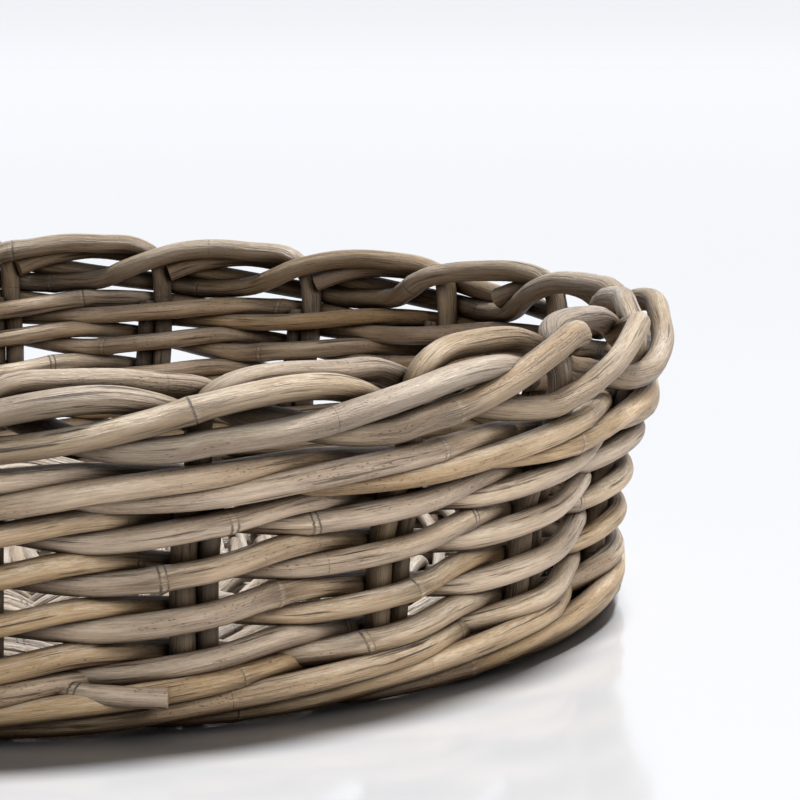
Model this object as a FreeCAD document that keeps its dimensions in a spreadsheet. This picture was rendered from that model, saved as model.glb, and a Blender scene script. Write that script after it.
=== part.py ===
import FreeCAD, Part
import math
import os

# Round, shallow wicker basket, woven from peeled rattan canes.
#
# Frame: millimetres, +Z up, origin on the floor under the middle of the basket.  The front of the
# basket faces -Y.  Places round the wall are counted in stakes: stake 0 stands at the front, and
# the count grows towards +X, the way the weavers run.
#
# Every cane is one solid: a round section swept along straight runs that are joined by tangent
# arcs.

DIMENSIONS = [
    # alias, value, what it is
    ("stake_count", 20, "stake pairs round the wall"),
    ("cane_diameter", 5.0, "stakes, border and side weavers"),
    ("base_cane_diameter", 3.6, "weavers of the base"),
    ("fine_cane_diameter", 3.0, "weavers near the middle of the base"),
    ("stick_diameter", 5.0, "sticks of the base"),
    ("lap", 5.4, "height step between canes that lie on each other"),
    ("row_pitch", 11.2, "height from one pairing row to the next"),
    ("weave_offset", 7.2, "from the stakes' circle to a weaver that passes them"),
    ("pair_offset", 2.95, "half the distance between the two canes of a pair"),
    ("leg_offset", 5.75, "half that distance beside a base stick"),
    ("weaver_bend", 16, "bend radius of the weavers"),
    ("foot_bend", 7, "bend radius where a stake turns up"),
    ("crown_bend", 9, "bend radius where a stake turns down into the border"),
    ("base_height", 7.8, "middle of the base above the floor"),
    ("base_wave", 5.3, "from the middle of the base to a weaver over a stick"),
    ("slath_reach", 21, "from the middle to where the crossed sticks start to fan out"),
    ("fan_reach", 62, "from the middle to where each stick lies on its own spoke"),
    ("stick_gap", 0.3, "clearance between the crossed sticks"),
    ("binding_half_side", 23.5, "from the middle to the inner round of the binding"),
    ("binding_pitch", 3.6, "from the inner round of the binding to the outer one"),
    ("stick_reach", 161, "outer end of a base stick"),
    ("first_round", 39.5, "innermost round of the base"),
    ("fine_reach", 78, "where the rounds change from the fine cane to the base cane"),
    ("round_gap", 1.1, "clearance between the rounds of the base"),
    ("leg_start", 120, "inner end of a stake's leg in the base"),
    ("leg_drop_start", 165, "where the legs start down to the foot"),
    ("foot_height", 4.8, "corner of a stake at the foot"),
    ("foot_circle", 173, "stakes' circle at the foot"),
    ("low_circle", 179.5, "stakes' circle at the first row"),
    ("mid_circle", 181.5, "stakes' circle at the third row"),
    ("high_circle", 187.6, "stakes' circle at the top wale"),
    ("rim_circle", 190.3, "stakes' circle in the border"),
    ("foot_wale_height", 2.5, "lowest strand of the foot wale"),
    ("first_row_height", 19.7, "first pairing row"),
    ("top_wale_height", 61.0, "lowest strand of the top wale"),
    ("border_height", 73.4, "lowest strand of the border"),
    ("crown_height", 88.4, "top of the border's arches"),
    ("tuck_height", 82.6, "where a stake's end turns in under an arch"),
]

ROW_COUNT = 4
END_GAP = 0.03  # a weaver's ends stop this share of a stake space from the middle of their stake
LEVEL_SHARE = 0.15  # a weaver stays level this share of a stake space each side of a crossing
SLATH_LIFT = 0.9  # how much higher the rounds wave where the sticks still lie on each other
CORNER_SHARE = 0.84  # a corner of the binding, as a share of its half side
BINDING_WIDTH = 2.9  # half the width of the crossed sticks, in stick diameters
RING_GAP = 0.15  # half the gap between the two ends of a round


def add_sheet(doc):
    sheet = doc.addObject("Spreadsheet::Sheet", "Dims")
    for line, (alias, value, note) in enumerate(DIMENSIONS, start=1):
        sheet.set("A%d" % line, alias)
        sheet.set("B%d" % line, str(value))
        sheet.set("C%d" % line, note)
        sheet.setAlias("B%d" % line, alias)
    doc.recompute()
    return sheet


doc = FreeCAD.newDocument("wicker_basket")
dims = add_sheet(doc)
STAKES = int(dims.stake_count)
FULL_TURN = 2 * math.pi


def stake_circle(height):
    """Radius of the circle that the stakes stand on, at a height."""
    profile = [
        (dims.foot_height, dims.foot_circle),
        (dims.first_row_height, dims.low_circle),
        (dims.first_row_height + 2 * dims.row_pitch, dims.mid_circle),
        (dims.top_wale_height + dims.lap / 2, dims.high_circle),
        (dims.border_height, dims.rim_circle),
    ]
    if height <= profile[0][0]:
        return profile[0][1]
    for (low, inner), (high, outer) in zip(profile, profile[1:]):
        if height <= high:
            return inner + (outer - inner) * (height - low) / (high - low)
    return profile[-1][1]


def place(stake, radius, height, sideways=0.0):
    """A point by its place round the basket in stakes, radius and height."""
    turn = FULL_TURN * stake / STAKES + sideways / radius
    return FreeCAD.Vector(radius * math.sin(turn), -radius * math.cos(turn), height)


def rounded_path(points, bend):
    """A wire of straight runs through the points, with a tangent arc at each inner point."""
    edges = []
    start = points[0]
    for before, corner, after in zip(points, points[1:], points[2:]):
        back = before - corner
        ahead = after - corner
        half_turn = (math.pi - back.getAngle(ahead)) / 2
        reach = min(bend * math.tan(half_turn), 0.45 * back.Length, 0.45 * ahead.Length)
        if half_turn < 0.01:
            continue
        radius = reach / math.tan(half_turn)
        back.normalize()
        ahead.normalize()
        first = corner + back * reach
        last = corner + ahead * reach
        inward = back + ahead
        inward.normalize()
        middle = corner + inward * (radius / math.cos(half_turn) - radius)
        edges.append(Part.LineSegment(start, first).toShape())
        edges.append(Part.Arc(first, middle, last).toShape())
        start = last
    edges.append(Part.LineSegment(start, points[-1]).toShape())
    return Part.Wire(edges)


def add_cane(name, points, bend, size_alias="cane_diameter"):
    """One cane: a Part::Sweep of a round section, bound to the sheet, along a rounded path."""
    path = doc.addObject("Part::Feature", name + "_path")
    path.Shape = rounded_path(points, bend)
    section = doc.addObject("Part::Circle", name + "_section")
    section.setExpression("Radius", "Dims.%s / 2" % size_alias)
    along = points[1] - points[0]
    turned = FreeCAD.Rotation(FreeCAD.Vector(0, 0, 1), along)
    section.Placement = FreeCAD.Placement(points[0], turned)
    cane = doc.addObject("Part::Sweep", name)
    cane.Sections = [section]
    cane.Spine = (path, ["Edge%d" % (i + 1) for i in range(len(path.Shape.Edges))])
    cane.Solid = True
    cane.Frenet = False
    cane.Label = name
    return cane


def add_group(name, members):
    """Alike canes that share one node, each still a solid of its own."""
    group = doc.addObject("Part::Compound", name)
    group.Links = members
    group.Label = name
    return group


# The base: crossed sticks, their binding, and rounds of two weavers.


def spoke_point(index, radius):
    """Where the stick with this index from the middle one, -2 to 2, crosses a radius."""
    spread = index * FULL_TURN / STAKES
    if radius >= dims.fan_reach:
        return radius * math.cos(spread), radius * math.sin(spread)
    x_near = dims.slath_reach
    y_near = index * (dims.stick_diameter + dims.stick_gap)
    x_step = dims.fan_reach * math.cos(spread) - x_near
    y_step = dims.fan_reach * math.sin(spread) - y_near
    square = x_step**2 + y_step**2
    product = x_near * x_step + y_near * y_step
    rest = x_near**2 + y_near**2 - radius**2
    share = (math.sqrt(product**2 - square * rest) - product) / square
    return x_near + share * x_step, y_near + share * y_step


def base_stick(name, index, turned, side):
    """A stick that crosses the middle and fans out to its own spoke at both ends."""
    tip = spoke_point(index, dims.stick_reach)
    knee = spoke_point(index, dims.fan_reach)
    cross = (dims.slath_reach, index * (dims.stick_diameter + dims.stick_gap))
    middle = dims.base_height + side * (dims.stick_diameter + dims.stick_gap) / 2
    heights = [dims.base_height, dims.base_height, middle]
    right = [FreeCAD.Vector(x, y, z) for (x, y), z in zip((tip, knee, cross), heights)]
    left = [FreeCAD.Vector(-p.x, p.y, p.z) for p in reversed(right)]
    turn = FreeCAD.Rotation(FreeCAD.Vector(0, 0, 1), 90 if turned else 0)
    points = [turn.multVec(p) for p in right + left]
    return add_cane(name, points, dims.weaver_bend / 2, "stick_diameter")


def base_ring(name, radius, phase, size_alias):
    """One round of a base weaver: over one spoke, under the next."""
    legs = radius > dims.leg_start - dims.base_cane_diameter
    wave = dims.base_wave + (0 if radius > dims.fan_reach else SLATH_LIFT)
    points = []
    for spoke in range(STAKES):
        quarter = (spoke + 2) // 5
        x, y = spoke_point(spoke - 5 * quarter, radius)
        turned = 5 * quarter + math.atan2(y, x) * STAKES / FULL_TURN
        rise = max(0, dims.fan_reach - radius) / (dims.fan_reach - dims.slath_reach)
        lean = (-1) ** quarter * rise * dims.stick_diameter / 2
        height = dims.base_height + lean + (wave if (spoke + phase) % 2 else -wave)
        for sideways in (-dims.leg_offset, dims.leg_offset) if legs else (0.0,):
            points.append(place(turned, radius, height, sideways))
    middle = (points[-1] + points[0]) * 0.5
    step = points[0] - points[-1]
    step.normalize()
    ends = [middle + step * RING_GAP, middle - step * RING_GAP]
    return add_cane(name, [ends[0]] + points + [ends[1]], dims.base_cane_diameter, size_alias)


def base_binding(name, half_side):
    """A round that ties the crossed sticks: over the lower five, under the upper five."""
    width = BINDING_WIDTH * dims.stick_diameter
    lift = dims.fine_cane_diameter
    corner = half_side * CORNER_SHARE
    start = FreeCAD.Vector(half_side, -width, dims.base_height + lift)
    points = []
    for quarter in range(4):
        turn = FreeCAD.Rotation(FreeCAD.Vector(0, 0, 1), 90 * quarter)
        height = dims.base_height + (-lift if quarter % 2 else lift)
        points.append(turn.multVec(FreeCAD.Vector(half_side, -width, height)))
        points.append(turn.multVec(FreeCAD.Vector(half_side, width, height)))
        points.append(turn.multVec(FreeCAD.Vector(corner, corner, dims.base_height)))
    closing = start - points[-1]
    points[0] = start - closing * 0.4
    points.append(start - closing * 0.45)
    return add_cane(name, points, 3, "fine_cane_diameter")


def add_base():
    parts = []
    for index in range(-2, 3):
        number = index + 3
        parts.append(base_stick("base_stick_lower_%d" % number, index, False, -1))
        parts.append(base_stick("base_stick_upper_%d" % number, index, True, 1))
    rounds = {"a": [], "b": []}
    radius = dims.first_round
    count = 0
    while radius < dims.leg_drop_start:
        alias = "fine_cane_diameter" if radius < dims.fine_reach else "base_cane_diameter"
        letter = "ab"[count % 2]
        name = "base_weaver_%s_round_%d" % (letter, len(rounds[letter]) + 1)
        rounds[letter].append(base_ring(name, radius, count, alias))
        radius += getattr(dims, alias) + dims.round_gap
        count += 1
    for letter, members in rounds.items():
        parts.append(add_group("base_weaver_" + letter, members))
    half_sides = [dims.binding_half_side, dims.binding_half_side + dims.binding_pitch]
    bindings = [base_binding("base_binding_round_%d" % (i + 1), side) for i, side in enumerate(half_sides)]
    parts.append(add_group("base_binding", bindings))
    return parts


# The stakes, the bye-stakes beside them, and the border.


def upright_points(stake, sideways, top):
    """Leg in the base, corner at the foot, and the wall up to a height."""
    side = math.copysign(dims.leg_offset, sideways)
    circle = stake_circle
    points = [
        place(stake, dims.leg_start, dims.base_height, side),
        place(stake, dims.leg_drop_start, dims.base_height, side),
        place(stake, dims.foot_circle, dims.foot_height, sideways),
    ]
    second_rows = dims.first_row_height + 2 * dims.row_pitch
    for height in (dims.first_row_height, second_rows, dims.top_wale_height + dims.lap / 2):
        points.append(place(stake, circle(height), height, sideways))
    points.append(place(stake, circle(top), top, sideways))
    return points


def add_stake(stake):
    """A stake and its end in the border: behind one stake, in front of two, and back inside."""
    rim = dims.rim_circle
    outside = rim + dims.weave_offset - 0.1
    inside = rim - dims.weave_offset - 0.5
    low = dims.border_height
    points = upright_points(stake, -dims.pair_offset, dims.crown_height - 2.2)
    points += [
        place(stake + 0.5, rim, dims.crown_height),
        place(stake + 1, inside, low + dims.lap + 0.2),
        place(stake + 1.5, rim, low + 0.2),
        place(stake + 2, outside, low),
        place(stake + 2.5, outside, low + 3.6),
        place(stake + 3, outside, dims.tuck_height - 1.4),
        place(stake + 3.5, rim + 1.5, dims.tuck_height),
        place(stake + 4, inside, low - 0.4),
        place(stake + 4 + END_GAP, inside, low - 1.2),
    ]
    return add_cane("stake_%02d" % (stake + 1), points, dims.crown_bend)


def add_bye_stakes():
    members = []
    for stake in range(STAKES):
        top = dims.border_height - 1
        points = upright_points(stake, dims.pair_offset, top)
        members.append(add_cane("bye_stake_%02d" % (stake + 1), points, dims.foot_bend))
    return add_group("bye_stakes", members)


# The side weave: foot wale, pairing rows and top wale.


def stitch(fronts, heights):
    """One cycle of a weaver, behind one stake and in front of the others.

    Each step holds the place along the cycle in stakes, how far out from the stakes' circle the
    strand lies there, and its height.  It stays level where it crosses between two stakes.
    heights are those behind, crossing out, in front of each stake, and crossing in.
    """
    out = dims.weave_offset
    behind, leaving, *passing, entering = heights
    near = 0.5 - LEVEL_SHARE
    slide = 2 * LEVEL_SHARE * out
    steps = [(0, -out, behind), (near, -slide, leaving), (1 - near, slide, leaving)]
    steps += [(1 + index, out, height) for index, height in enumerate(passing)]
    steps += [(fronts + near, slide, entering), (fronts + 1 - near, -slide, entering)]
    return steps


def weaver(name, first, last, cycle, level, steps):
    """A weaver that repeats a stitch from behind the first stake to behind the last."""
    points = []
    for start in range(first, last, cycle):
        for along, outwards, rise in steps:
            height = level + rise
            begin = END_GAP if start == first and along == 0 else 0
            points.append(place(start + along + begin, stake_circle(height) + outwards, height))
    height = level + steps[0][2]
    points.append(place(last - END_GAP, stake_circle(height) + steps[0][1], height))
    return add_cane(name, points, dims.weaver_bend)


def add_foot_wale():
    """Four weavers: in front of three stakes, behind one.  They lean out as they climb."""
    out = dims.weave_offset
    steps = [
        (0, -out, 9.9),
        (0.16, -out, 9.6),
        (0.4, -3, 4.2),
        (0.66, 2.6, 0.3),
        (1, 6.3, 0),
        (1.5, 7.9, 1.2),
        (2, 9.3, 3.8),
        (2.5, 9.5, 5.5),
        (3, 9.7, 8.6),
        (3.3, 2.6, 9.8),
        (3.65, -4, 8.6),
    ]
    made = []
    for number in range(4):
        name = "foot_wale_weaver_%d" % (number + 1)
        made.append(weaver(name, number, number + STAKES, 4, dims.foot_wale_height, steps))
    return made


def add_pairing_rows():
    """Rows of two weavers that twist round each other between the stakes."""
    half = dims.lap / 2 - 0.1
    steps = stitch(1, [0, -half, 0, half])
    made = []
    for row in range(ROW_COUNT):
        level = dims.first_row_height + row * dims.row_pitch
        for letter, start in (("a", row), ("b", row + 1)):
            name = "row_%d_weaver_%s" % (row + 1, letter)
            made.append(weaver(name, start, start + STAKES, 2, level, steps))
    return made


def add_top_wale():
    """Three weavers: in front of two stakes, behind one.  Each ends where the next one starts."""
    steps = stitch(2, [3.4, 0.1, 0, dims.lap, dims.lap + 0.2])
    ends = {0: 1 + STAKES, 1: 2 + STAKES, 2: STAKES}
    made = []
    for number, last in ends.items():
        name = "top_wale_weaver_%d" % (number + 1)
        made.append(weaver(name, number, last, 3, dims.top_wale_height, steps))
    return made


def check(parts):
    doc.recompute()
    for item in doc.Objects:
        if "Invalid" in item.State or "Error" in item.State:
            raise RuntimeError("%s failed: %s" % (item.Label, item.State))
    for item in parts:
        shape = item.Shape
        if shape.isNull() or not shape.isValid() or not shape.Solids:
            raise RuntimeError("%s has no valid solid" % item.Label)


def main():
    parts = add_base()
    parts += [add_stake(stake) for stake in range(STAKES)]
    parts.append(add_bye_stakes())
    parts += add_foot_wale()
    parts += add_pairing_rows()
    parts += add_top_wale()
    check(parts)
    os.makedirs("parts", exist_ok=True)
    for item in parts:
        item.Shape.exportStep("parts/%s.step" % item.Label)
        length = item.Shape.Volume / (math.pi * dims.cane_diameter**2 / 4)
        print("%-24s %2d solids, %8.0f mm3, %6.0f mm of side cane" % (
            item.Label, len(item.Shape.Solids), item.Shape.Volume, length))


main()
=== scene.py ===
import bpy
import math
import random
import numpy as np
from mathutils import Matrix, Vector


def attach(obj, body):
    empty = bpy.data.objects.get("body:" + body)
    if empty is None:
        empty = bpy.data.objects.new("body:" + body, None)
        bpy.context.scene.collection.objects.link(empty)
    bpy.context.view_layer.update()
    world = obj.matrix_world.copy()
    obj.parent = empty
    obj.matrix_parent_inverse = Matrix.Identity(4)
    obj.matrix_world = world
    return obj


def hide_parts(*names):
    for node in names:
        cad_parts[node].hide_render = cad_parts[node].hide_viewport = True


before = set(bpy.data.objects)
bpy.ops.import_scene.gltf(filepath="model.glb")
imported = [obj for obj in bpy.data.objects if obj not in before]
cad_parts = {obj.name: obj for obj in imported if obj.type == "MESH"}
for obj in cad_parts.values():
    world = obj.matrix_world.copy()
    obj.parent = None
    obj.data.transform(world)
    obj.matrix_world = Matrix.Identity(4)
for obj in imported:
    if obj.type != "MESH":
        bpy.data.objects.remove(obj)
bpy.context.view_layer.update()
mm = 0.001
fullTurn = 6.28  # radians, near enough for a random start
dice = random.Random(41)

# the wall: sizes in millimetres, heights above the floor, places counted in stakes
wall = {
    "stakes": 20,
    "circle": [(3, 173.5), (18, 179.6), (41, 181.6), (55, 186.0), (64, 188.0), (75, 190.4)],
    "cane": 6.1,
    "pairHalf": 3.1,
    "weaveOut": 6.1,
    "shiftOfStake": {0: 0.03, 1: -0.06, 2: -0.07, 3: -0.06, 4: 0.08, 5: 0.12, 6: 0.16, 7: 0.19, 8: 0.2,
                     9: 0.17, 10: 0.1},
    "drift": (-0.06, 0.06),
    "lean": (-0.05, 0.02),
    "leanHeight": 80,
    # how far the rim has sunk near some stakes
    "sagPlaces": [0, 4, 5, 6, 7, 8, 9, 10, 11, 20],
    "sagDepths": [0, 0, 1.0, 2.8, 4.2, 3.8, 2.0, 0.4, 0, 0],
    "sagFrom": 15,
    "sagOver": 75,
}


def stakeShifts():
    # how far each stake stands from its even place, in stakes, and how much it leans
    shifts, leans = [], []
    for stake in range(wall["stakes"]):
        drift = dice.uniform(*wall["drift"])
        shifts.append(wall["shiftOfStake"].get(stake, drift))
        leans.append(dice.uniform(*wall["lean"]))
    return shifts, leans


shiftOf, leanOf = stakeShifts()


def circleAt(height):
    table = wall["circle"]
    return float(np.interp(height, [low for low, _ in table], [radius for _, radius in table]))


def turnAt(place, height):
    # angle round the basket of a place counted in stakes, following the uneven stakes
    whole = math.floor(place)
    part = place - whole
    ends = []
    for stake in (whole, whole + 1):
        index = stake % wall["stakes"]
        ends.append(shiftOf[index] + leanOf[index] * (1 - height / wall["leanHeight"]))
    return 2 * math.pi / wall["stakes"] * (place + ends[0] * (1 - part) + ends[1] * part)


def spot(place, radius, height, sideways=0.0):
    turn = turnAt(place, height) + sideways / radius
    sag = float(np.interp(place % wall["stakes"], wall["sagPlaces"], wall["sagDepths"]))
    height -= sag * max(height - wall["sagFrom"], 0) / wall["sagOver"]
    return Vector((radius * math.sin(turn), -radius * math.cos(turn), height)) * mm


def deselectAll():
    if bpy.context.object and bpy.context.object.mode != "OBJECT":
        bpy.ops.object.mode_set(mode="OBJECT")
    bpy.ops.object.select_all(action="DESELECT")


cane = {
    "sides": 16,
    "loopStep": 2.6,
    "mostCuts": 60,
    "fewestLoops": 4,
    "firstKnot": (10, 140),
    "knotGap": (95, 210),
    "knotSwell": 0.10,
    "knotWidth": 2.4,
    "unevenness": 0.035,
    "waves": 4,
    "waveRate": (25, 160),  # per metre, as are the twists
    "ovalness": 0.03,
    "ovalTwist": 9,
    "ridges": 0.03,
    "ridgeLobes": (3, 5, 7),
    "ridgeTwist": (-14, 14),
    "ringSlant": 0.7,
    "seedRoom": (40, 3, 3),  # metres of grain that a cane is cut from
    "ownTone": 0.65,
    "smoothAngle": 50,
}


def makePath(name, points):
    # a smooth curve through the points, with handles along the chord of the neighbours
    data = bpy.data.curves.new(name, "CURVE")
    data.dimensions = "3D"
    data.resolution_u = 16
    data.twist_mode = "MINIMUM"
    spline = data.splines.new("BEZIER")
    spline.bezier_points.add(len(points) - 1)
    for index, knot in enumerate(spline.bezier_points):
        here = points[index]
        before = points[max(index - 1, 0)]
        after = points[min(index + 1, len(points) - 1)]
        along = (after - before).normalized()
        knot.handle_left_type = knot.handle_right_type = "FREE"
        knot.co = here
        knot.handle_left = here - along * (here - before).length / 3
        knot.handle_right = here + along * (after - here).length / 3
    path = bpy.data.objects.new(name, data)
    bpy.context.collection.objects.link(path)
    return path, spline.calc_length()


def straightCane(name, length, thickness, sides, loopStep):
    # a rod along X with loops cut across it
    deselectAll()
    bpy.ops.mesh.primitive_cylinder_add(vertices=sides, radius=thickness / 2 * mm, depth=length,
                                        location=(length / 2, 0, 0), rotation=(0, math.pi / 2, 0))
    rod = bpy.context.object
    rod.name = rod.data.name = name
    bpy.ops.object.transform_apply(location=True, rotation=True, scale=True)
    loops = max(cane["fewestLoops"], round(length / (loopStep * mm)))
    while loops > 1:
        cuts = min(loops, cane["mostCuts"])
        selectLengthwise(rod)
        bpy.ops.object.mode_set(mode="EDIT")
        bpy.ops.mesh.subdivide(number_cuts=cuts - 1)
        bpy.ops.object.mode_set(mode="OBJECT")
        loops = round(loops / cuts)
    return rod


def selectLengthwise(rod):
    mesh = rod.data
    bpy.ops.object.mode_set(mode="EDIT")
    bpy.ops.mesh.select_mode(type="EDGE")
    bpy.ops.mesh.select_all(action="DESELECT")
    bpy.ops.object.mode_set(mode="OBJECT")
    points = readPoints(mesh)
    ends = np.empty(len(mesh.edges) * 2, dtype=int)
    mesh.edges.foreach_get("vertices", ends)
    ends = ends.reshape(-1, 2)
    run = np.abs(points[ends[:, 0], 0] - points[ends[:, 1], 0])
    mesh.edges.foreach_set("select", run > 1e-6)
    mesh.update()


def readPoints(mesh):
    points = np.empty(len(mesh.vertices) * 3)
    mesh.vertices.foreach_get("co", points)
    return points.reshape(-1, 3)


def weatherCane(rod, length, knots=None):
    # uneven thickness and swollen growth rings; attributes carry the straight cane's own coordinates
    mesh = rod.data
    points = readPoints(mesh)
    along = points[:, 0].copy()
    if knots is None:
        knots = []
        place = dice.uniform(*cane["firstKnot"]) * mm
        while place < length:
            knots.append(place)
            place += dice.uniform(*cane["knotGap"]) * mm
    farAway = 10.0
    knots = np.array(knots if knots else [farAway])  # a cane may be too short for a knot
    offset = along[:, None] - knots[None, :]
    nearest = offset[np.arange(len(points)), np.abs(offset).argmin(axis=1)]
    segment = (offset > 0).sum(axis=1)
    width = cane["knotWidth"] * mm
    swell = cane["knotSwell"] * np.exp(-(nearest / width) ** 2)
    waves = 0
    for _ in range(cane["waves"]):
        rate = dice.uniform(*cane["waveRate"])
        waves = waves + np.sin(along * rate + dice.uniform(0, fullTurn))
    waves = waves / cane["waves"]
    around = np.arctan2(points[:, 2], points[:, 1])
    phase = dice.uniform(0, fullTurn)
    ridges = cane["ovalness"] * np.cos(2 * around + phase + along * cane["ovalTwist"])
    for lobes in cane["ridgeLobes"]:
        phase = dice.uniform(0, fullTurn)
        twist = dice.uniform(*cane["ridgeTwist"])
        ridges += cane["ridges"] / lobes * np.cos(lobes * around + phase + along * twist)
    scale = 1 + swell + cane["unevenness"] * waves + ridges
    straight = points.copy()
    points[:, 1] *= scale
    points[:, 2] *= scale
    mesh.vertices.foreach_set("co", points.ravel())
    seedShift = np.array([dice.uniform(0, room) for room in cane["seedRoom"]])
    grain = mesh.attributes.new("grain", "FLOAT_VECTOR", "POINT")
    grain.data.foreach_set("vector", (straight + seedShift).ravel())
    slant = cane["ringSlant"] * mm * np.sin(around + dice.uniform(0, fullTurn))
    knot = mesh.attributes.new("knot", "FLOAT", "POINT")
    knot.data.foreach_set("value", nearest + slant)
    # each stretch between knots has a tone of its own
    tones = np.array([dice.uniform(0, 1) for _ in range(len(knots) + 1)])
    ownTone = dice.uniform(0, 1)
    tone = mesh.attributes.new("tone", "FLOAT", "POINT")
    tone.data.foreach_set("value", cane["ownTone"] * ownTone + (1 - cane["ownTone"]) * tones[segment])
    mesh.update()


def layCane(name, points, thickness, knots=None, sides=None, loopStep=None):
    # a straight cane bent along a path and applied
    path, length = makePath(name + "Path", points)
    rod = straightCane(name, length, thickness, sides or cane["sides"], loopStep or cane["loopStep"])
    weatherCane(rod, length, knots)
    bend = rod.modifiers.new("bend", "CURVE")
    bend.object = path
    bend.deform_axis = "POS_X"
    deselectAll()
    rod.select_set(True)
    bpy.context.view_layer.objects.active = rod
    bpy.ops.object.modifier_apply(modifier="bend")
    bpy.ops.object.shade_smooth_by_angle(angle=math.radians(cane["smoothAngle"]))
    bpy.data.objects.remove(path)
    return rod


woven = bpy.data.collections.new("woven")


def finishPiece(name, rods, node, material):
    deselectAll()
    for rod in rods:
        rod.data.materials.append(material)
        rod.data.materials.append(cutEnd)
        for face in rod.data.polygons:
            face.material_index = 1 if face.loop_total > 4 else 0  # a cut end is one many-sided face
        rod.select_set(True)
    bpy.context.view_layer.objects.active = rods[0]
    if len(rods) > 1:
        bpy.ops.object.join()
    piece = bpy.context.object
    piece.name = piece.data.name = name
    woven.objects.link(piece)
    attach(piece, "root")
    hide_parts(node)
    return piece


def addNode(tree, kind, **values):
    made = tree.nodes.new(kind)
    for key, value in values.items():
        if key in made.inputs:
            made.inputs[key].default_value = value
        else:
            setattr(made, key, value)
    return made


def fill(tree, socket, value):
    if isinstance(value, (float, int)):
        socket.default_value = value
    elif isinstance(value, tuple):
        socket.default_value = (*value, 1)
    else:
        tree.links.new(value, socket)


def noise(tree, source, scale, detail, roughness):
    stretch = addNode(tree, "ShaderNodeMapping", Scale=scale)
    tree.links.new(source, stretch.inputs["Vector"])
    made = addNode(tree, "ShaderNodeTexNoise", Scale=1, Detail=detail, Roughness=roughness)
    tree.links.new(stretch.outputs["Vector"], made.inputs["Vector"])
    return made.outputs["Fac"]


def mixColour(tree, factor, first, second):
    made = addNode(tree, "ShaderNodeMix", data_type="RGBA")
    for socket, value in ((made.inputs[0], factor), (made.inputs[6], first), (made.inputs[7], second)):
        fill(tree, socket, value)
    return made.outputs[2]


def band(tree, source, low, high, lowTo=0.0, highTo=1.0):
    made = addNode(tree, "ShaderNodeMapRange")
    made.inputs["From Min"].default_value = low
    made.inputs["From Max"].default_value = high
    made.inputs["To Min"].default_value = lowTo
    made.inputs["To Max"].default_value = highTo
    tree.links.new(source, made.inputs["Value"])
    return made.outputs["Result"]


def combine(tree, operation, first, second=0.0):
    made = addNode(tree, "ShaderNodeMath", operation=operation)
    for socket, value in zip(made.inputs, (first, second)):
        fill(tree, socket, value)
    return made.outputs[0]


def addBump(tree, shader, height, strength, depth):
    bump = addNode(tree, "ShaderNodeBump", Strength=strength, Distance=depth * mm)
    tree.links.new(height, bump.inputs["Height"])
    tree.links.new(bump.outputs["Normal"], shader.inputs["Normal"])


def newMaterial(name):
    material = bpy.data.materials.new(name)
    material.use_nodes = True
    return material, material.node_tree, material.node_tree.nodes["Principled BSDF"]


def spreadNodes(tree):
    # columns by how far each node is from the output, for the node editor
    column = {made.name: 0 for made in tree.nodes}
    moving = True
    while moving:
        moving = False
        for link in tree.links:
            wanted = column[link.to_node.name] + 1
            if column[link.from_node.name] < wanted:
                column[link.from_node.name] = wanted
                moving = True
    rows = {}
    for made in tree.nodes:
        place = column[made.name]
        made.location = (-220 * place, -200 * rows.get(place, 0))
        rows[place] = rows.get(place, 0) + 1


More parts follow.
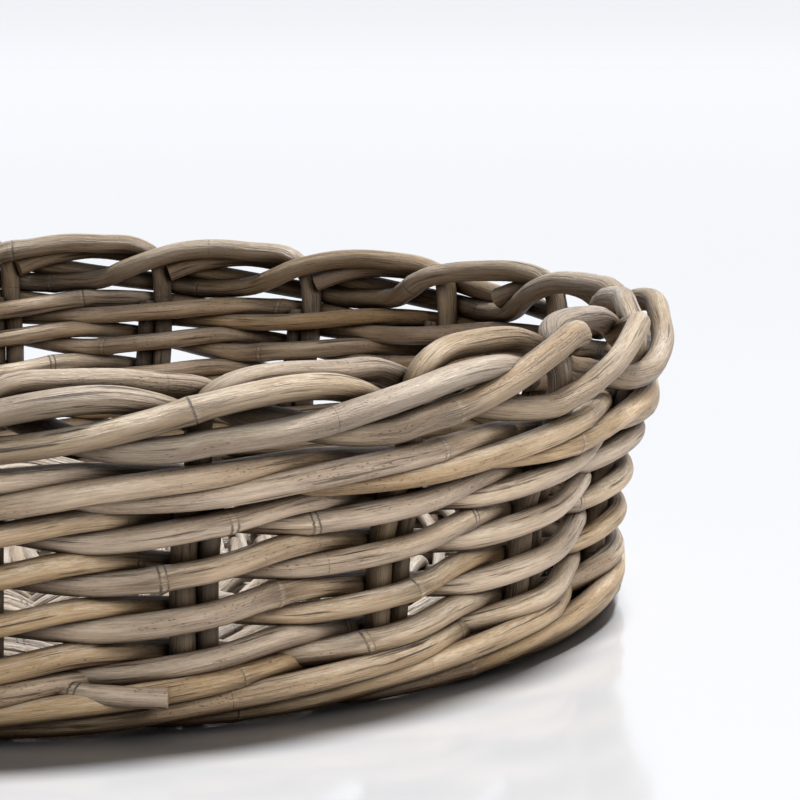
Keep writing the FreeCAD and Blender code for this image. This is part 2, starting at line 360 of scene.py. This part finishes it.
caneLook = {
    "greyLight": (0.70, 0.575, 0.455),
    "greyDark": (0.14, 0.096, 0.068),
    "tanLight": (0.67, 0.50, 0.325),
    "tanDark": (0.15, 0.094, 0.052),
    "crack": (0.03, 0.018, 0.010),
    # pale dry skin, also laid on the upper sides as painted highlight
    "dryAndHighlight": (0.86, 0.76, 0.63),
    # the colour of the painted shade where canes press together
    "stainAndPaintedShade": (0.022, 0.011, 0.005),
    # each noise: how fast it changes along and across the cane, detail, roughness
    "noises": {
        "patch": ((16, 130, 130), 4, 0.6),
        "hue": ((9, 90, 90), 2, 0.5),
        "streak": ((26, 520, 520), 5, 0.7),
        "fibre": ((80, 2300, 2300), 3, 0.7),
        "speck": ((900, 2300, 2300), 2, 0.5),
        "scuff": ((240, 2000, 2000), 4, 0.8),
        "split": ((30, 950, 950), 3, 0.6),
    },
    # where each effect begins and is full, and what it is worth there if not 0 and 1; rings in metres
    "ranges": {
        "patch": (0.36, 0.64),
        "streak": (0.34, 0.66),
        "fibre": (0.36, 0.64),
        "paintedTopLight": (-0.5, 0.95),
        "hueMix": (0.2, 0.7),
        "dryScuff": (0.43, 0.55),
        "dryInPatch": (0.3, 1.0),
        "paintedHighlightOnTop": (0.35, 0.9, 0.15, 1.0),
        "ringRagged": (0.3, 0.7, -0.00028, 0.00028),
        "collarFar": (0.0022, 0.0003),
        "collarNear": (-0.0003, 0.0004),
        "collarFibre": (0.25, 0.7),
        "secondRingFades": (0.3, 0.6, 0.0, 0.0004),
        "ringLine": (0.0005, 0.00015),
        "ringInPatch": (0.0, 0.8, 0.35, 1.0),
        "ringStain": (0.011, 0.0),
        "stainInStreak": (0.8, 0.1),
        "dots": (0.61, 0.68),
        "dotsInPatch": (0.6, 0.2),
        "cracks": (0.41, 0.37),
        "cracksInStreak": (0.9, 0.2),
        "roughness": (0.1, 0.9, 0.53, 0.3),
        "specular": (0.0, 0.8, 0.5, 0.05),
    },
    "hueMiddle": 0.5,
    "secondRing": 1.7,
    "lightShares": {"streak": 0.32, "fibre": 0.2, "patch": 0.3, "paintedTopLight": 0.3},
    "dryAndHighlightShares": {"scuffs": 0.95, "collar": 0.45},
    "markShares": {"dots": 0.6, "cracks": 0.85, "ringLine": 0.8, "ringStain": 0.6},
    "reliefShares": {"streak": 0.5, "fibre": 0.25, "marks": 0.5},
    "paintedShadeReach": 10,
    "paintedShadeRange": (0.94, 0.3),
    "paintedShadeSamples": 6,
    "bumpStrength": 0.8,
    "bumpDepth": 0.8,
}


def ranged(tree, source, effect):
    return band(tree, source, *caneLook["ranges"][effect])


def product(tree, first, second):
    return combine(tree, "MULTIPLY", first, second)


def grainLayers(tree):
    # what the surface is made of, read from the attributes that weatherCane leaves
    grain = addNode(tree, "ShaderNodeAttribute", attribute_name="grain").outputs["Vector"]
    layers = {kind: noise(tree, grain, *values) for kind, values in caneLook["noises"].items()}
    for kind in ("patch", "streak", "fibre"):
        layers[kind] = ranged(tree, layers[kind], kind)
    for kind in ("knot", "tone"):
        layers[kind] = addNode(tree, "ShaderNodeAttribute", attribute_name=kind).outputs["Fac"]
    # painted light: upper sides are painted lighter and lower sides darker, by how far the surface faces up
    facing = addNode(tree, "ShaderNodeSeparateXYZ")
    tree.links.new(addNode(tree, "ShaderNodeNewGeometry").outputs["Normal"], facing.inputs[0])
    layers["paintedTopLight"] = ranged(tree, facing.outputs["Z"], "paintedTopLight")
    return layers


def shadeOf(tree, layers):
    # how light each place is, from the grain and from painted light on the upper sides
    shares = caneLook["lightShares"]
    shade = product(tree, layers["streak"], shares["streak"])
    for kind in ("fibre", "patch", "paintedTopLight"):
        shade = combine(tree, "ADD", shade, product(tree, layers[kind], shares[kind]))
    return shade


def growthRings(tree, layers):
    # a ragged dark ring at each knot, often with a second one, a dry collar and a wide stain
    ring = combine(tree, "ADD", layers["knot"], ranged(tree, layers["scuff"], "ringRagged"))
    collar = product(tree, ranged(tree, ring, "collarFar"), ranged(tree, ring, "collarNear"))
    collar = product(tree, collar, ranged(tree, layers["fibre"], "collarFibre"))
    first = combine(tree, "ABSOLUTE", ring)
    second = combine(tree, "ABSOLUTE", combine(tree, "SUBTRACT", ring, caneLook["secondRing"] * mm))
    second = combine(tree, "ADD", second, ranged(tree, layers["tone"], "secondRingFades"))
    distance = combine(tree, "MINIMUM", first, second)
    line = product(tree, ranged(tree, distance, "ringLine"), ranged(tree, layers["patch"], "ringInPatch"))
    stainAndPaintedShade = product(tree, ranged(tree, distance, "ringStain"),
                    ranged(tree, layers["streak"], "stainInStreak"))
    return collar, line, stainAndPaintedShade


def dryAndHighlightParts(tree, layers, collar):
    # scuffs and collars where the skin has dried out pale; the scuffs are kept to the upper sides, where
    # they also paint highlights
    shares = caneLook["dryAndHighlightShares"]
    dryAndHighlight = product(tree, ranged(tree, layers["scuff"], "dryScuff"),
                  ranged(tree, layers["patch"], "dryInPatch"))
    dryAndHighlight = product(tree, dryAndHighlight, ranged(tree, layers["paintedTopLight"], "paintedHighlightOnTop"))
    return combine(tree, "MAXIMUM", product(tree, dryAndHighlight, shares["scuffs"]),
                   product(tree, collar, shares["collar"]))


def darkMarks(tree, layers, ringLine, ringStain):
    shares = caneLook["markShares"]
    dots = product(tree, ranged(tree, layers["speck"], "dots"), ranged(tree, layers["patch"], "dotsInPatch"))
    cracks = product(tree, ranged(tree, layers["split"], "cracks"),
                     ranged(tree, layers["streak"], "cracksInStreak"))
    marks = product(tree, dots, shares["dots"])
    for mark, kind in ((cracks, "cracks"), (ringLine, "ringLine"), (ringStain, "ringStain")):
        marks = combine(tree, "MAXIMUM", marks, product(tree, mark, shares[kind]))
    return marks


def relief(tree, layers, marks):
    shares = caneLook["reliefShares"]
    height = combine(tree, "ADD", product(tree, layers["streak"], shares["streak"]),
                     product(tree, layers["fibre"], shares["fibre"]))
    return combine(tree, "SUBTRACT", height, product(tree, marks, shares["marks"]))


def rattan(name, paintedLightLevel=1.0, warmer=0.0, stainAndPaintedShade=0.92):
    # greyed rattan: long fibres and streaks, specks, cracked growth rings, dry pale scuffs that also paint
    # highlights on upper sides, painted light on upper sides and painted shade where canes press together
    material, tree, shader = newMaterial(name)
    look = caneLook
    layers = grainLayers(tree)
    hue = combine(tree, "SUBTRACT", layers["hue"], look["hueMiddle"])
    hue = ranged(tree, combine(tree, "ADD", layers["tone"], hue), "hueMix")
    light = mixColour(tree, hue, look["greyLight"], look["tanLight"])
    dark = mixColour(tree, hue, look["greyDark"], look["tanDark"])
    shade = shadeOf(tree, layers)
    colour = mixColour(tree, shade, dark, light)
    collar, ringLine, ringStain = growthRings(tree, layers)
    colour = mixColour(tree, dryAndHighlightParts(tree, layers, collar), colour, look["dryAndHighlight"])
    marks = darkMarks(tree, layers, ringLine, ringStain)
    colour = mixColour(tree, marks, colour, look["crack"])
    # painted shade: canes are darkened where they press together and shade each other, found by an occlusion
    # node
    occlusion = addNode(tree, "ShaderNodeAmbientOcclusion", samples=look["paintedShadeSamples"],
                      Distance=look["paintedShadeReach"] * mm)
    paintedShade = band(tree, occlusion.outputs["AO"], *look["paintedShadeRange"], 0.0, stainAndPaintedShade)
    colour = mixColour(tree, paintedShade, colour, look["stainAndPaintedShade"])
    # painted light and shade: the whole copy is made lighter or darker for the light its part gets
    hueShift = addNode(tree, "ShaderNodeHueSaturation", Value=paintedLightLevel, Saturation=1 + warmer)
    tree.links.new(colour, hueShift.inputs["Color"])
    tree.links.new(hueShift.outputs["Color"], shader.inputs["Base Color"])
    tree.links.new(ranged(tree, shade, "roughness"), shader.inputs["Roughness"])
    tree.links.new(ranged(tree, paintedShade, "specular"), shader.inputs["Specular IOR Level"])
    addBump(tree, shader, relief(tree, layers, marks), look["bumpStrength"], look["bumpDepth"])
    spreadNodes(tree)
    return material


pithLook = {
    "pores": ((1900, 1900, 1900), 2, 0.6),
    "poreRange": (0.42, 0.56),
    "poreColour": (0.12, 0.075, 0.04),
    "paleColour": (0.50, 0.38, 0.25),
    "dirt": ((260, 260, 260), 3, 0.6),
    "dirtRange": (0.4, 0.7, 0.0, 0.6),
    "dirtColour": (0.10, 0.065, 0.04),
    "roughness": 0.85,
    "bumpStrength": 0.8,
    "bumpDepth": 0.4,
}


def pith(name):
    # the cut end of a cane: pale, porous and a little dirty
    material, tree, shader = newMaterial(name)
    look = pithLook
    where = addNode(tree, "ShaderNodeTexCoord").outputs["Object"]
    pores = noise(tree, where, *look["pores"])
    dirt = noise(tree, where, *look["dirt"])
    colour = mixColour(tree, band(tree, pores, *look["poreRange"]), look["poreColour"], look["paleColour"])
    colour = mixColour(tree, band(tree, dirt, *look["dirtRange"]), colour, look["dirtColour"])
    tree.links.new(colour, shader.inputs["Base Color"])
    shader.inputs["Roughness"].default_value = look["roughness"]
    addBump(tree, shader, pores, look["bumpStrength"], look["bumpDepth"])
    spreadNodes(tree)
    return material


cutEnd = pith("cutEnd")
# painted light and shade: copies of one cane, made lighter for the rows and darker for the stakes and the
# border, for how much light each part gets; the base gets less painted shade between its canes
sideCane = rattan("sideCane", paintedLightLevel=1.3, warmer=0.2)
stakeCane = rattan("stakeCane", paintedLightLevel=0.6, warmer=0.15)
borderCane = rattan("borderCane", paintedLightLevel=0.79, warmer=0.1)
baseCane = rattan("baseCane", paintedLightLevel=1.0, warmer=-0.2, stainAndPaintedShade=0.35)
print("materials made")

border = {
    "cane": 6.9,
    "caneSpread": (0.96, 1.05),
    "byeSpread": (0.95, 1.05),
    # the leg beside its spoke and the turn up the wall: radius, height, share of the way aside
    "legSide": 5.75,
    "leg": [(120, 7.8, 1.0), (145, 7.8, 1.0), (163, 7.2, 0.9)],
    "turnUp": [(171.5, 5.2, 1.15), (175, 8.5, 1.0)],
    "uprights": (18, 30, 42, 54),
    "byeTop": (60, 68),
    "rimHeight": 90,
    # place past the stake, how far out of the rim circle, height
    "route": [
        (0.02, 0.3, 66), (0.02, 1.0, 79.0), (0.05, 1.4, 84.6), (0.16, 1.0, 88.0), (0.36, -0.2, 88.8),
        (0.6, -1.4, 88.6), (0.82, -3.8, 87.2), (1.01, -5.9, 84.4), (1.19, -4.6, 79.8),
        (1.37, -0.4, 75.8), (1.57, 3.6, 73.5), (1.8, 6.0, 73.0), (2.0, 7.0, 74.0), (2.25, 7.5, 75.2),
        (2.5, 7.7, 77.0), (2.75, 7.7, 79.3), (3.0, 7.4, 82.3), (3.22, 7.1, 84.8), (3.42, 6.4, 85.7),
        (3.6, 4.4, 84.9), (3.77, 1.2, 82.4), (3.91, -1.8, 79.2),
    ],
    # how far a stake still stands aside of its pair's middle at the first points of the route
    "asideShare": {0: 1.0, 1: 0.8, 2: 0.3},
    # wobble in place, out and height: none before steadyTo, half of it from freeTo on
    "wobble": (0.02, 0.4, 0.5),
    "steadyTo": 2,
    "freeTo": 10,
    # arches that stand higher, further in or further back than the others
    "archLift": {1: -0.6, 2: 2.2, 3: 2.2, 4: 0.8},
    "archLean": {2: -0.8, 3: -7.0, 4: -3.5, 5: -1.5},
    "archShift": {3: -0.1},
    "archShare": {2: 0.35, 3: 0.85, 4: 1.0, 5: 0.85, 6: 0.5, 7: 0.15},
    # ends that tuck in sooner or higher than the others
    "tuckShift": {17: 0.02, 18: -0.08, 19: -0.12, 0: -0.48, 1: -0.8, 2: -0.7, 3: -0.4},
    "endLift": {0: 4.6, 1: 2.4, 2: 1.5},
    "tuckFrom": 11,
    "tuckOver": 7,
    # ends that turn straight in over the rim: how much back and inwards near the end
    "endTurn": {0: 1.0, 1: 0.6},
    "endTurnBy": {19: (0.05, 0.5), 20: (0.15, 2.5), 21: (0.26, 5.0)},
}


def uprightPoints(stake, sideways):
    legSide = math.copysign(border["legSide"], sideways)
    points = [spot(stake, radius, height, legSide * share) for radius, height, share in border["leg"]]
    for radius, height, share in border["turnUp"]:
        points.append(spot(stake, radius, height, sideways * share))
    for height in border["uprights"]:
        points.append(spot(stake, circleAt(height), height, sideways))
    return points


def borderPoint(stake, index):
    # a point of the border's route, with what is special about this stake
    ahead, out, height = border["route"][index]
    share = border["archShare"].get(index, 0.0)
    height += share * border["archLift"].get(stake, 0.0)
    out += share * border["archLean"].get(stake, 0.0)
    ahead += share * border["archShift"].get(stake, 0.0)
    turnBack, turnIn = border["endTurnBy"].get(index, (0, 0))
    ahead -= turnBack * border["endTurn"].get(stake, 0.0)
    out -= turnIn * border["endTurn"].get(stake, 0.0)
    share = min(max((index - border["tuckFrom"]) / border["tuckOver"], 0), 1)
    ahead += share * border["tuckShift"].get(stake, 0.0)
    height += share * border["endLift"].get(stake, 0.0)
    return ahead, out, height


def makeStakes():
    rim = circleAt(border["rimHeight"])
    for stake in range(wall["stakes"]):
        points = uprightPoints(stake, -wall["pairHalf"])
        for index in range(len(border["route"])):
            ahead, out, height = borderPoint(stake, index)
            wobble = 0 if index < border["steadyTo"] else 1 if index < border["freeTo"] else 0.5
            off, outOff, heightOff = [wobble * dice.uniform(-size, size) for size in border["wobble"]]
            points.append(spot(stake + ahead + off, rim + out + outOff, height + heightOff,
                               -wall["pairHalf"] * border["asideShare"].get(index, 0.0)))
        name = "borderStake_%02d" % (stake + 1)
        rod = layCane(name, points, border["cane"] * dice.uniform(*border["caneSpread"]))
        finishPiece(name, [rod], "stake_%02d" % (stake + 1), borderCane)


def makeByeStakes():
    rods = []
    for stake in range(wall["stakes"]):
        points = uprightPoints(stake, wall["pairHalf"])
        for height in border["byeTop"]:
            points.append(spot(stake, circleAt(height), height, wall["pairHalf"]))
        rods.append(layCane("byeStake", points, wall["cane"] * dice.uniform(*border["byeSpread"])))
    finishPiece("byeStakes", rods, "bye_stakes", stakeCane)


makeStakes()
makeByeStakes()
print("stakes and border made")

weave = {
    "cane": 6.2,
    "rowHeights": [17.8, 29.2, 41.0, 52.6],
    "rowHalf": 3.0,
    "rowSpread": (0.95, 1.05),
    "footHeight": 3.55,
    "footWeavers": 4,
    "footSpread": (0.97, 1.04),
    "topHeight": 60.0,
    "topHalf": 5.8,
    "topOut": 0.4,
    "topSpread": (0.97, 1.05),
    "topEnds": {0: 21, 1: 22, 2: 20},
    "wobble": 0.35,
    "placeWobble": 0.02,
    "steadyBelow": 15,
    "backRise": 1.7,
    "endReach": 0.12,
    # a weaver's end that stands out of the foot: place, how far out, height
    "looseEnd": [(0.36, 4.0, 11.8), (0.54, 9.6, 11.8), (0.68, 13.0, 11.5), (0.81, 15.4, 11.2)],
    "looseCane": 5.2,
    "looseKnot": 4,
}
# each stitch: places ahead, how far outwards, how high
pairingStitch = [(0, -1, 0), (0.5, 0, -1), (1, 1, 0), (1.5, 0, 1)]
topStitch = [(0, -1, 0.5), (0.5, 0, 0.0), (1, 1, 0.0), (1.5, 1.05, 0.5), (2, 1, 1.0), (2.5, 0, 1.05)]
footStitch = [
    (0, -6.2, 9.2), (0.3, -4.6, 6.4), (0.65, 2.2, 0.8), (1, 6.0, 0.0), (1.5, 7.6, 0.8), (2, 8.8, 3.7),
    (2.5, 9.0, 6.2), (3, 8.6, 8.9), (3.35, 3.6, 10.0), (3.7, -3.6, 9.9),
]


def weaverPoints(first, last, cycle, stitch, level, out, lift):
    points = []
    for start in range(first, last, cycle):
        for ahead, outwards, rise in stitch:
            points.append((start + ahead, outwards * out, level + rise * lift))
    points.append((last, stitch[0][1] * out, level + stitch[0][2] * lift))
    made = []
    for place, outwards, height in points:
        loose = weave["wobble"]
        radius = circleAt(height) + outwards + dice.uniform(-loose, loose)
        turn = 2 * math.pi * place / wall["stakes"]
        height += weave["backRise"] * height / weave["topHeight"] * (1 - math.cos(turn)) / 2
        loose *= min(height / weave["steadyBelow"], 1)
        shift = dice.uniform(-weave["placeWobble"], weave["placeWobble"])
        made.append(spot(place + shift, radius, height + dice.uniform(-loose, loose)))
    # both ends reach a little past the stake that they rest against
    made[0] = made[0] + (made[0] - made[1]) * weave["endReach"]
    made[-1] = made[-1] + (made[-1] - made[-2]) * weave["endReach"]
    return made


def makeFootWale():
    weavers = weave["footWeavers"]
    for number in range(weavers):
        name = "footWaler_%d" % (number + 1)
        last = number + wall["stakes"]
        points = weaverPoints(number, last, weavers, footStitch, weave["footHeight"], 1, 1)
        rods = [layCane(name, points, weave["cane"] * dice.uniform(*weave["footSpread"]))]
        if number == 0:
            ends = [spot(at, circleAt(height) + out, height) for at, out, height in weave["looseEnd"]]
            rods.append(layCane("looseEnd", ends, weave["looseCane"], knots=[weave["looseKnot"] * mm]))
        finishPiece(name, rods, "foot_wale_weaver_%d" % (number + 1), sideCane)


def makeRows():
    for row, level in enumerate(weave["rowHeights"]):
        for letter, first in (("a", row), ("b", row + 1)):
            name = "rowWeaver_%d%s" % (row + 1, letter)
            points = weaverPoints(first, first + wall["stakes"], 2, pairingStitch, level,
                                  wall["weaveOut"], weave["rowHalf"])
            rod = layCane(name, points, weave["cane"] * dice.uniform(*weave["rowSpread"]))
            finishPiece(name, [rod], "row_%d_weaver_%s" % (row + 1, letter), sideCane)


def makeTopWale():
    out = wall["weaveOut"] + weave["topOut"]
    for number, last in weave["topEnds"].items():
        name = "topWaler_%d" % (number + 1)
        points = weaverPoints(number, last, 3, topStitch, weave["topHeight"], out, weave["topHalf"])
        rod = layCane(name, points, weave["cane"] * dice.uniform(*weave["topSpread"]))
        finishPiece(name, [rod], "top_wale_weaver_%d" % (number + 1), sideCane)


makeFootWale()
makeRows()
makeTopWale()
print("side weave made")

base = {
    "middle": 7.8,
    "stick": 5.2,
    "stickGap": 0.1,
    "slathReach": 21,
    "fanReach": 62,
    "stickPlaces": (161, 120, 90),
    "stickSides": 12,
    "stickStep": 3.2,
    "firstRound": 39.5,
    "lastRound": 165,
    "fineCane": 3.2,
    "fineReach": 78,
    "roundCane": 4.0,
    "roundSpread": (0.95, 1.06),
    "roundGap": 0.62,
    "roundWobble": 0.2,
    "roundLap": 1,
    "wave": 4.6,
    "waveExtra": 0.3,
    "legStart": 116,
    "legSide": 5.75,
    "sides": 10,
    "loopStep": 3.4,
    "bindingReach": (23.5, 27.1),
    "bindingHalf": 14.5,
    "bindingCorner": 0.84,
    "bindingLift": 3.1,
    "bindingLap": 0.9,
    "bindingStep": 2.4,
}


def stickAside(index):
    return index * (base["stick"] + base["stickGap"])


def spokePoint(index, radius):
    # spokes lie side by side over the middle and fan out evenly from fanReach on
    spread = index * 2 * math.pi / wall["stakes"]
    if radius >= base["fanReach"]:
        return radius * math.cos(spread), radius * math.sin(spread)
    nearX, nearY = base["slathReach"], stickAside(index)
    stepX = base["fanReach"] * math.cos(spread) - nearX
    stepY = base["fanReach"] * math.sin(spread) - nearY
    square = stepX ** 2 + stepY ** 2
    across = nearX * stepX + nearY * stepY
    rest = nearX ** 2 + nearY ** 2 - radius ** 2
    share = (math.sqrt(across ** 2 - square * rest) - across) / square
    return nearX + share * stepX, nearY + share * stepY


def makeBaseSticks():
    for index in range(-2, 3):
        for side, word in ((-1, "lower"), (1, "upper")):
            flat = [spokePoint(index, reach) for reach in (*base["stickPlaces"], base["fanReach"])]
            heights = [base["middle"]] * len(flat)
            flat.append((base["slathReach"], stickAside(index)))
            heights.append(base["middle"] + side * base["stick"] * 0.5)
            right = [Vector((x, y, height)) * mm for (x, y), height in zip(flat, heights)]
            left = [Vector((-point.x, point.y, point.z)) for point in reversed(right)]
            points = right + left
            if side > 0:
                points = [Vector((-point.y, point.x, point.z)) for point in points]
            name = "baseStick_%s_%d" % (word, index + 3)
            rod = layCane(name, points, base["stick"], sides=base["stickSides"], loopStep=base["stickStep"])
            finishPiece(name, [rod], "base_stick_%s_%d" % (word, index + 3), baseCane)


def roundPoints(radius, phase):
    # one round, over and under the spokes and, further out, the legs beside them
    legs = radius > base["legStart"]
    points = []
    for spoke in range(wall["stakes"]):
        quarter = (spoke + 2) // 5
        x, y = spokePoint(spoke - 5 * quarter, radius)
        turn = quarter * math.pi / 2 + math.atan2(y, x)
        rise = max(0, base["fanReach"] - radius) / (base["fanReach"] - base["slathReach"])
        lean = (-1) ** quarter * rise * base["stick"] / 2
        height = base["middle"] + lean + (base["wave"] if (spoke + phase) % 2 else -base["wave"])
        height += dice.uniform(0, base["waveExtra"])
        for aside in (-base["legSide"], base["legSide"]) if legs else (0.0,):
            angle = turn + aside / radius
            points.append(Vector((radius * math.sin(angle), -radius * math.cos(angle), height)) * mm)
    middle = (points[-1] + points[0]) / 2
    lap = (points[0] - points[-1]).normalized() * base["roundLap"] * mm
    return [middle - lap] + points + [middle + lap]


def makeBaseRounds():
    rounds = {"a": [], "b": []}
    radius = base["firstRound"]
    count = 0
    while radius < base["lastRound"]:
        thick = base["fineCane"] if radius < base["fineReach"] else base["roundCane"]
        letter = "ab"[count % 2]
        points = roundPoints(radius + dice.uniform(-base["roundWobble"], base["roundWobble"]), count)
        rounds[letter].append(layCane("round", points, thick * dice.uniform(*base["roundSpread"]),
                                      sides=base["sides"], loopStep=base["loopStep"]))
        radius += thick + base["roundGap"]
        count += 1
    for letter, rods in rounds.items():
        finishPiece("baseRounds_" + letter, rods, "base_weaver_" + letter, baseCane)


def makeBinding():
    # over one arm of the cross and under the next, round the four corners
    rods = []
    half = base["bindingHalf"]
    for reach in base["bindingReach"]:
        corner = reach * base["bindingCorner"]
        points = []
        for quarter in range(4):
            lift = base["middle"] + (-base["bindingLift"] if quarter % 2 else base["bindingLift"])
            for x, y, z in ((reach, -half, lift), (reach, half, lift), (corner, corner, base["middle"])):
                for _ in range(quarter):
                    x, y = -y, x
                points.append(Vector((x, y, z)) * mm)
        points.append(points[-1].lerp(points[0], 0.5))
        points.insert(0, points[0].lerp(points[-1], base["bindingLap"]))
        rods.append(layCane("binding", points, base["fineCane"], sides=base["sides"],
                            loopStep=base["bindingStep"]))
    finishPiece("baseBinding", rods, "base_binding", baseCane)


makeBaseSticks()
makeBaseRounds()
makeBinding()
print("base made")

studio = {
    "floorSize": 80.0,
    "floorColour": (0.745, 0.755, 0.775, 1),
    "floorRoughness": 0.11,
    "cameraTurn": 2.4,
    "cameraReach": 866.7,
    "cameraHeight": 183.9,
    "tiltDown": 0.1462,
    "yaw": 0.139,
    "lens": 129.3,
    "sensor": 36,
    "clipStart": 0.02,
    "skyColour": (0.96, 0.97, 1.0, 1),
    "skyLow": 0.06,
    "skyTop": 0.19,
    "skyRise": (0.25, 0.95),
    "backdrop": (0.865, 0.885, 0.925, 1),
    "sunPower": 3.9,
    "sunSpread": 11,
    "sunFrom": (0.26, 0.17, 1.0),
    "liftPower": 2.35,
    "liftSize": 0.3,
    "liftPlace": (0.42, -0.52, 0.36),
}


def makeFloor():
    deselectAll()
    bpy.ops.mesh.primitive_plane_add(size=studio["floorSize"], location=(0, 0, 0))
    floor = bpy.context.object
    floor.name = floor.data.name = "paleFloor"
    material, _, shader = newMaterial("paleFloor")
    shader.inputs["Base Color"].default_value = studio["floorColour"]
    shader.inputs["Roughness"].default_value = studio["floorRoughness"]
    floor.data.materials.append(material)


def sunLamp(name, comesFrom, power, spread):
    lamp = bpy.data.lights.new(name, "SUN")
    lamp.energy = power
    lamp.angle = math.radians(spread)
    made = bpy.data.objects.new(name, lamp)
    made.rotation_euler = (-Vector(comesFrom)).to_track_quat("-Z", "Y").to_euler()
    bpy.context.collection.objects.link(made)


def softBox(name):
    # lights the weave only, so that it leaves the floor's shadow alone
    lamp = bpy.data.lights.new(name, "AREA")
    lamp.shape = "SQUARE"
    lamp.size = studio["liftSize"]
    lamp.energy = studio["liftPower"]
    made = bpy.data.objects.new(name, lamp)
    made.location = studio["liftPlace"]
    made.rotation_euler = (-made.location).to_track_quat("-Z", "Y").to_euler()
    bpy.context.collection.objects.link(made)
    made.light_linking.receiver_collection = woven


def makeSky():
    # a dim sky that is brighter overhead lights the basket; a pale backdrop is what is seen
    world = bpy.data.worlds.new("studio")
    world.use_nodes = True
    tree = world.node_tree
    sky = tree.nodes["Background"]
    sky.inputs["Color"].default_value = studio["skyColour"]
    way = addNode(tree, "ShaderNodeSeparateXYZ")
    tree.links.new(addNode(tree, "ShaderNodeTexCoord").outputs["Generated"], way.inputs[0])
    strength = band(tree, way.outputs["Z"], *studio["skyRise"], studio["skyLow"], studio["skyTop"])
    tree.links.new(strength, sky.inputs["Strength"])
    backdrop = addNode(tree, "ShaderNodeBackground", Color=studio["backdrop"])
    seen = addNode(tree, "ShaderNodeLightPath")
    direct = combine(tree, "MAXIMUM", seen.outputs["Is Camera Ray"], seen.outputs["Is Glossy Ray"])
    choose = addNode(tree, "ShaderNodeMixShader")
    tree.links.new(direct, choose.inputs[0])
    tree.links.new(sky.outputs[0], choose.inputs[1])
    tree.links.new(backdrop.outputs[0], choose.inputs[2])
    tree.links.new(choose.outputs[0], tree.nodes["World Output"].inputs["Surface"])
    spreadNodes(tree)
    bpy.context.scene.world = world


def makeCamera():
    turn = math.radians(studio["cameraTurn"])
    reach = studio["cameraReach"] * mm
    camera = bpy.data.objects.new("camera", bpy.data.cameras.new("camera"))
    camera.data.lens = studio["lens"]
    camera.data.sensor_width = studio["sensor"]
    camera.data.clip_start = studio["clipStart"]
    camera.location = (reach * math.sin(turn), -reach * math.cos(turn), studio["cameraHeight"] * mm)
    camera.rotation_euler = (math.pi / 2 - studio["tiltDown"], 0, turn - studio["yaw"])
    bpy.context.collection.objects.link(camera)
    bpy.context.scene.camera = camera


makeFloor()
makeSky()
sunLamp("overhead", studio["sunFrom"], studio["sunPower"], studio["sunSpread"])
softBox("frontLift")
makeCamera()
bpy.context.scene.view_settings.view_transform = "Standard"
print("studio made")
